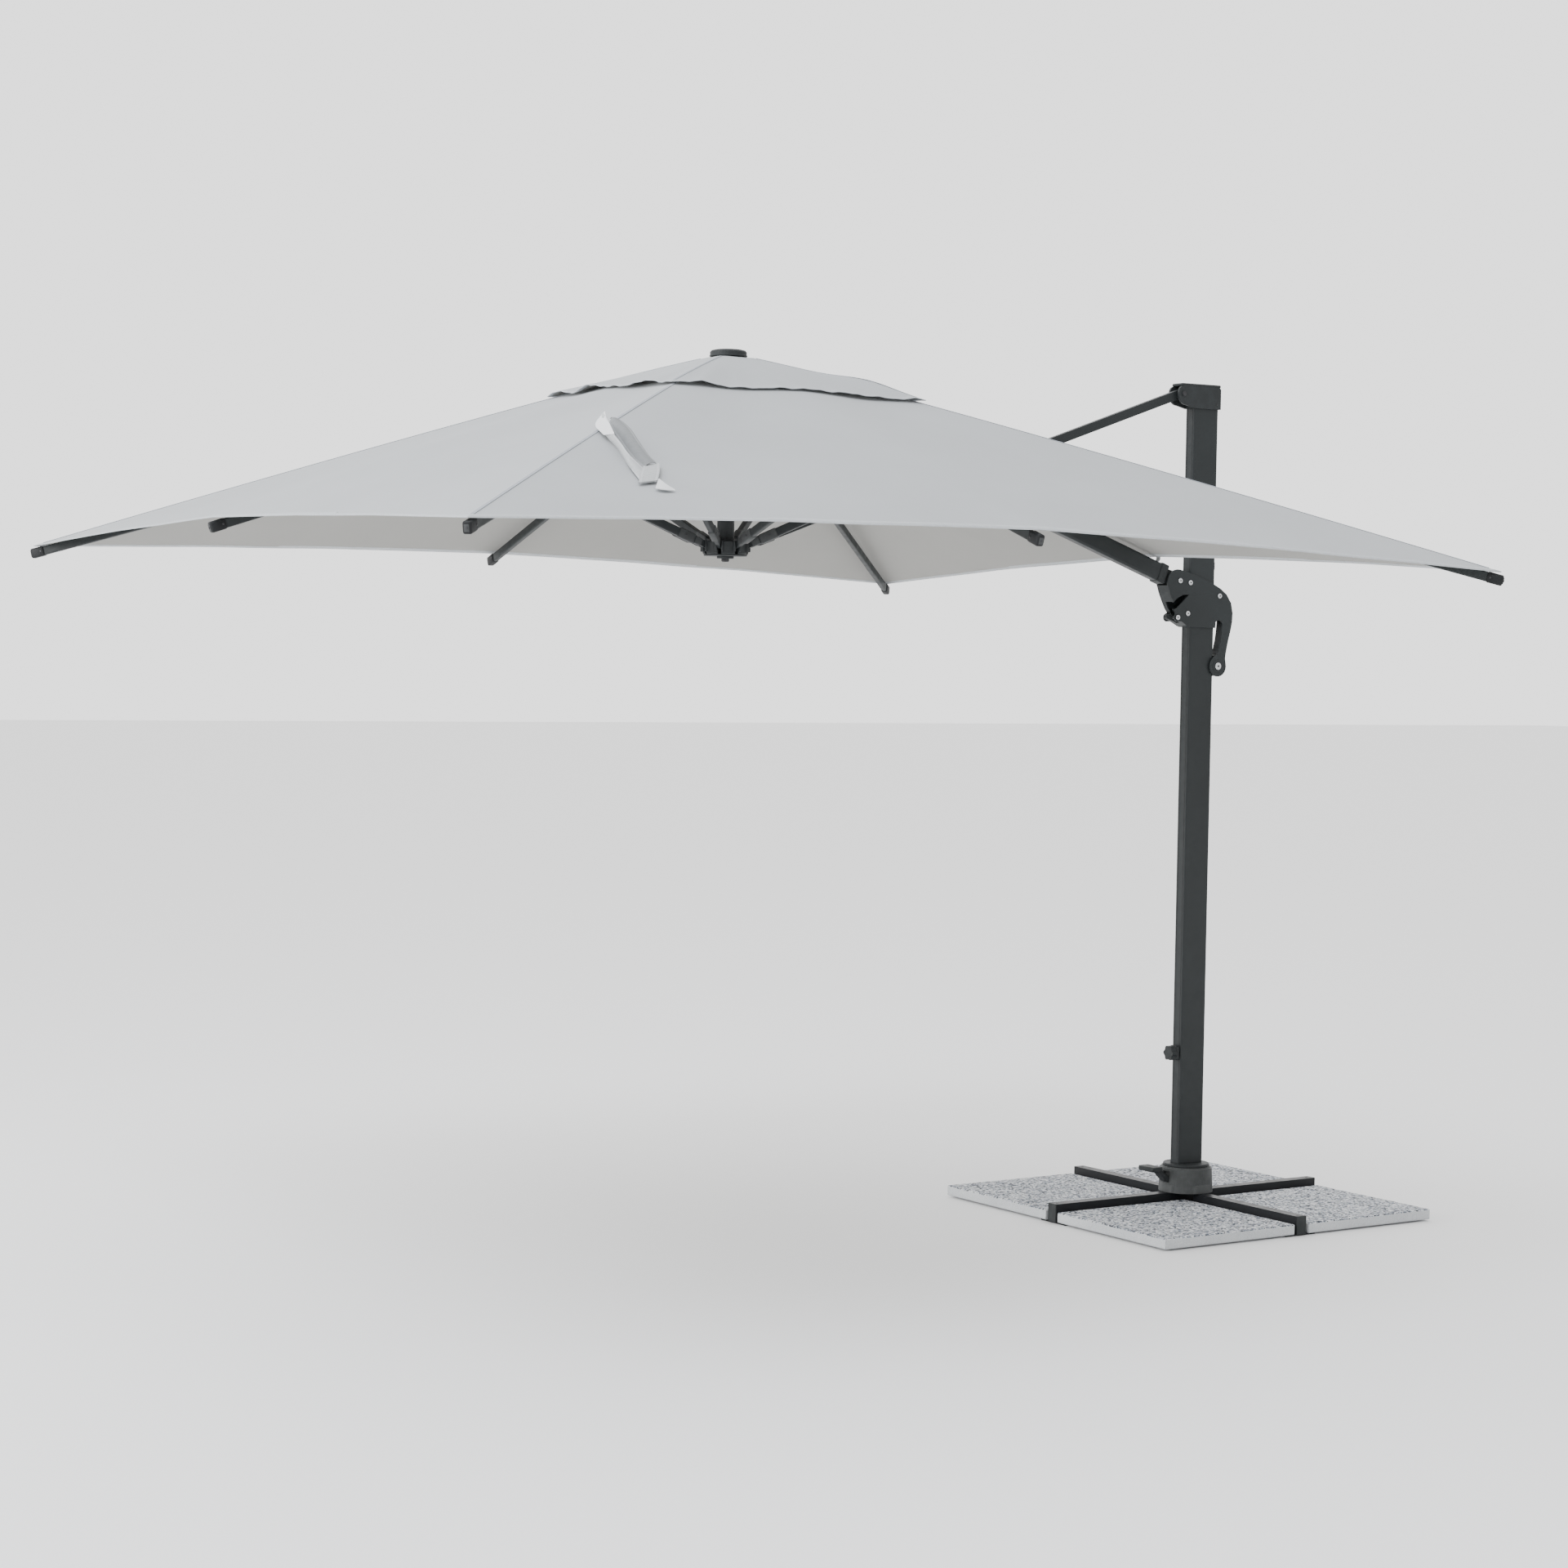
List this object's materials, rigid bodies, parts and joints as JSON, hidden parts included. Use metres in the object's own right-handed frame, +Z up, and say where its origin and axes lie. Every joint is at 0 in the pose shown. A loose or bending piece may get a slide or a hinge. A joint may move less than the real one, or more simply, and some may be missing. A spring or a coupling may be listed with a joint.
{
  "type": "cantilever parasol",
  "caption": "Free-standing cantilever parasol with a square folding canopy, a swivelling mast, a sliding handle and a slab-weighted cross base.",
  "frame": {"origin": "centre of the cross base's underside, on the mast's axis", "axes": "+Z up along the mast, -X out along the arm to the canopy, +Y completes the frame"},
  "size_m": [3.7366, 3.024, 2.5365],
  "materials": {
    "frame": "powder-coated anthracite, satin",
    "base_steel": "powder-coated anthracite, satin",
    "plastic": "moulded, fine grain",
    "steel": "bright",
    "stone": "speckled granite, sawn",
    "cloth": "woven polyester, matt"
  },
  "bodies": {
    "arm": {"arm": "frame", "arm_foot": "plastic", "arm_head": "plastic", "arm_pin": "steel"},
    "base": {"bar_cap_far": "plastic", "bar_cap_mast": "plastic", "bar_cap_near": "plastic", "bar_cap_out": "plastic", "cross_bar_long": "base_steel", "cross_bar_short_back": "base_steel", "cross_bar_short_front": "base_steel", "slab_back": "stone", "slab_front": "stone", "slab_left": "stone", "slab_right": "stone", "turntable_housing": "plastic"},
    "mast": {"base_stub": "steel", "cap_bolt": "steel", "knob_boss": "plastic", "mast_cap": "frame", "mast_tube": "frame", "swivel_disc": "plastic"},
    "slider": {"bolt_front": "steel", "bolt_guide": "steel", "bolt_handle": "steel", "bolt_lever": "steel", "bolt_pivot": "steel", "bolt_rear": "steel", "front_shroud": "plastic", "handle_grip": "plastic", "slider_cheek_far": "frame", "slider_cheek_near": "frame"},
    "hub": {"canopy_cover": "cloth", "finial_cap": "plastic", "hub_pin": "steel", "tie_strap": "cloth", "top_hub": "plastic", "vent_flap": "cloth"},
    "knob": {"clamp_knob": "plastic"},
    "pedal": {"foot_pedal": "plastic"},
    "lever": {"release_lever": "plastic"},
    "rib_far_mast": {"rib_far_mast": "frame"},
    "rib_far_mid": {"rib_far_mid": "frame"},
    "rib_far_out": {"rib_far_out": "frame"},
    "rib_near_mast": {"rib_near_mast": "frame"},
    "rib_near_mid": {"rib_near_mid": "frame"},
    "rib_near_out": {"rib_near_out": "frame"},
    "rib_out_mid": {"rib_out_mid": "frame"},
    "roller_front": {"roller_front": "plastic"},
    "roller_rear": {"roller_rear": "plastic"},
    "runner": {"runner": "plastic"},
    "strut_far_mast": {"strut_far_mast": "frame"},
    "strut_far_mid": {"strut_far_mid": "frame"},
    "strut_far_out": {"strut_far_out": "frame"},
    "strut_mast_side": {"strut_mast_side": "frame"},
    "strut_near_mast": {"strut_near_mast": "frame"},
    "strut_near_mid": {"strut_near_mid": "frame"},
    "strut_near_out": {"strut_near_out": "frame"},
    "strut_out_mid": {"strut_out_mid": "frame"},
    "tie_rod": {"tie_rod": "frame"}
  },
  "joints": [
    {"name": "mast_swivel", "type": "hinge", "parent": "base", "child": "mast", "pos_m": [0, 0, 0.1363], "axis": [0, 0, 1], "continuous": true},
    {"name": "pedal_press", "type": "hinge", "parent": "base", "child": "pedal", "pos_m": [-0.07991, -0.00377, 0.096], "axis": [0.0471, -0.9989, 0], "range_deg": [0, 16], "stiffness_Nm_per_rad": 4, "springref_deg": -8.59},
    {"name": "knob_turn", "type": "hinge", "parent": "mast", "child": "knob", "pos_m": [-0.0606, 0, 0.487], "axis": [-1, 0, 0], "continuous": true},
    {"name": "canopy_fold", "type": "hinge", "parent": "mast", "child": "tie_rod", "pos_m": [-0.092, 0, 2.504], "axis": [0, -1, 0], "range_deg": [0, 64.25], "deforming": ["canopy_cover", "vent_flap", "tie_strap"]},
    {"name": "arm_fold", "type": "hinge", "parent": "tie_rod", "child": "arm", "pos_m": [-0.883, 0, 2.22], "axis": [0, 1, 0], "range_deg": [0, 128.5]},
    {"name": "slider_travel", "type": "hinge", "parent": "arm", "child": "slider", "pos_m": [-0.092, 0, 1.936], "axis": [0, -1, 0], "range_deg": [0, 64.25]},
    {"name": "hub_level", "type": "hinge", "parent": "arm", "child": "hub", "pos_m": [-1.674, 0, 2.504], "axis": [0, -1, 0], "range_deg": [0, 64.25]},
    {"name": "lever_release", "type": "hinge", "parent": "slider", "child": "lever", "pos_m": [-0.099, 0, 1.824], "axis": [0, 1, 0], "range_deg": [0, 14], "stiffness_Nm_per_rad": 0.6, "springref_deg": -11.46},
    {"name": "roller_front_roll", "type": "hinge", "parent": "slider", "child": "roller_front", "pos_m": [-0.061, 0, 1.837], "axis": [0, 1, 0], "continuous": true},
    {"name": "roller_rear_roll", "type": "hinge", "parent": "slider", "child": "roller_rear", "pos_m": [0.061, 0, 1.893], "axis": [0, 1, 0], "continuous": true},
    {"name": "rib_far_mast_fold", "type": "hinge", "parent": "hub", "child": "rib_far_mast", "pos_m": [-1.63299, 0.04101, 2.47], "axis": [-0.7071, 0.7071, 0], "range_deg": [0, 67.31]},
    {"name": "strut_far_mast_fold", "type": "hinge", "parent": "rib_far_mast", "child": "strut_far_mast", "pos_m": [-1.18583, 0.48817, 2.27055], "axis": [0.7071, -0.7071, 0], "range_deg": [0, 128.56]},
    {"name": "rib_far_mid_fold", "type": "hinge", "parent": "hub", "child": "rib_far_mid", "pos_m": [-1.674, 0.058, 2.47], "axis": [-1, 0, 0], "range_deg": [0, 63.62]},
    {"name": "strut_far_mid_fold", "type": "hinge", "parent": "rib_far_mid", "child": "strut_far_mid", "pos_m": [-1.674, 0.69141, 2.22272], "axis": [1, 0, 0], "range_deg": [0, 128.5]},
    {"name": "rib_far_out_fold", "type": "hinge", "parent": "hub", "child": "rib_far_out", "pos_m": [-1.71501, 0.04101, 2.47], "axis": [-0.7071, -0.7071, 0], "range_deg": [0, 68.22]},
    {"name": "strut_far_out_fold", "type": "hinge", "parent": "rib_far_out", "child": "strut_far_out", "pos_m": [-2.16165, 0.48765, 2.28219], "axis": [0.7071, 0.7071, 0], "range_deg": [0, 128.6]},
    {"name": "rib_out_mid_fold", "type": "hinge", "parent": "hub", "child": "rib_out_mid", "pos_m": [-1.732, 0, 2.47], "axis": [0, -1, 0], "range_deg": [0, 64.25]},
    {"name": "strut_out_mid_fold", "type": "hinge", "parent": "rib_out_mid", "child": "strut_out_mid", "pos_m": [-2.36546, 0, 2.231], "axis": [0, 1, 0], "range_deg": [0, 128.5]},
    {"name": "rib_near_out_fold", "type": "hinge", "parent": "hub", "child": "rib_near_out", "pos_m": [-1.71501, -0.04101, 2.47], "axis": [0.7071, -0.7071, 0], "range_deg": [0, 68.22]},
    {"name": "strut_near_out_fold", "type": "hinge", "parent": "rib_near_out", "child": "strut_near_out", "pos_m": [-2.16165, -0.48765, 2.28219], "axis": [-0.7071, 0.7071, 0], "range_deg": [0, 128.6]},
    {"name": "rib_near_mid_fold", "type": "hinge", "parent": "hub", "child": "rib_near_mid", "pos_m": [-1.674, -0.058, 2.47], "axis": [1, 0, 0], "range_deg": [0, 63.62]},
    {"name": "strut_near_mid_fold", "type": "hinge", "parent": "rib_near_mid", "child": "strut_near_mid", "pos_m": [-1.674, -0.69141, 2.22272], "axis": [-1, 0, 0], "range_deg": [0, 128.5]},
    {"name": "rib_near_mast_fold", "type": "hinge", "parent": "hub", "child": "rib_near_mast", "pos_m": [-1.63299, -0.04101, 2.47], "axis": [0.7071, 0.7071, 0], "range_deg": [0, 67.31]},
    {"name": "strut_near_mast_fold", "type": "hinge", "parent": "rib_near_mast", "child": "strut_near_mast", "pos_m": [-1.18583, -0.48817, 2.27055], "axis": [-0.7071, -0.7071, 0], "range_deg": [0, 128.56]},
    {"name": "strut_mast_side_fold", "type": "hinge", "parent": "arm", "child": "strut_mast_side", "pos_m": [-1.0023, 0, 2.21927], "axis": [0, -1, 0], "range_deg": [0, 135.91]},
    {"name": "runner_level", "type": "hinge", "parent": "strut_out_mid", "child": "runner", "pos_m": [-1.732, 0, 1.992], "axis": [0, -1, 0], "range_deg": [0, 64.25]}
  ],
  "couplings": [
    {"joint": "arm_fold", "follows": "canopy_fold", "ratio": 2},
    {"joint": "slider_travel", "follows": "canopy_fold", "ratio": 1},
    {"joint": "hub_level", "follows": "canopy_fold", "ratio": 1},
    {"joint": "rib_far_mast_fold", "follows": "canopy_fold", "ratio": 1.0476},
    {"joint": "strut_far_mast_fold", "follows": "canopy_fold", "ratio": 2.001},
    {"joint": "rib_far_mid_fold", "follows": "canopy_fold", "ratio": 0.99016},
    {"joint": "strut_far_mid_fold", "follows": "canopy_fold", "ratio": 2},
    {"joint": "rib_far_out_fold", "follows": "canopy_fold", "ratio": 1.0619},
    {"joint": "strut_far_out_fold", "follows": "canopy_fold", "ratio": 2.0016},
    {"joint": "rib_out_mid_fold", "follows": "canopy_fold", "ratio": 1},
    {"joint": "strut_out_mid_fold", "follows": "canopy_fold", "ratio": 2},
    {"joint": "rib_near_out_fold", "follows": "canopy_fold", "ratio": 1.0619},
    {"joint": "strut_near_out_fold", "follows": "canopy_fold", "ratio": 2.0016},
    {"joint": "rib_near_mid_fold", "follows": "canopy_fold", "ratio": 0.99016},
    {"joint": "strut_near_mid_fold", "follows": "canopy_fold", "ratio": 2},
    {"joint": "rib_near_mast_fold", "follows": "canopy_fold", "ratio": 1.0476},
    {"joint": "strut_near_mast_fold", "follows": "canopy_fold", "ratio": 2.001},
    {"joint": "strut_mast_side_fold", "follows": "canopy_fold", "ratio": 2.1153},
    {"joint": "runner_level", "follows": "canopy_fold", "ratio": 1}
  ]
}
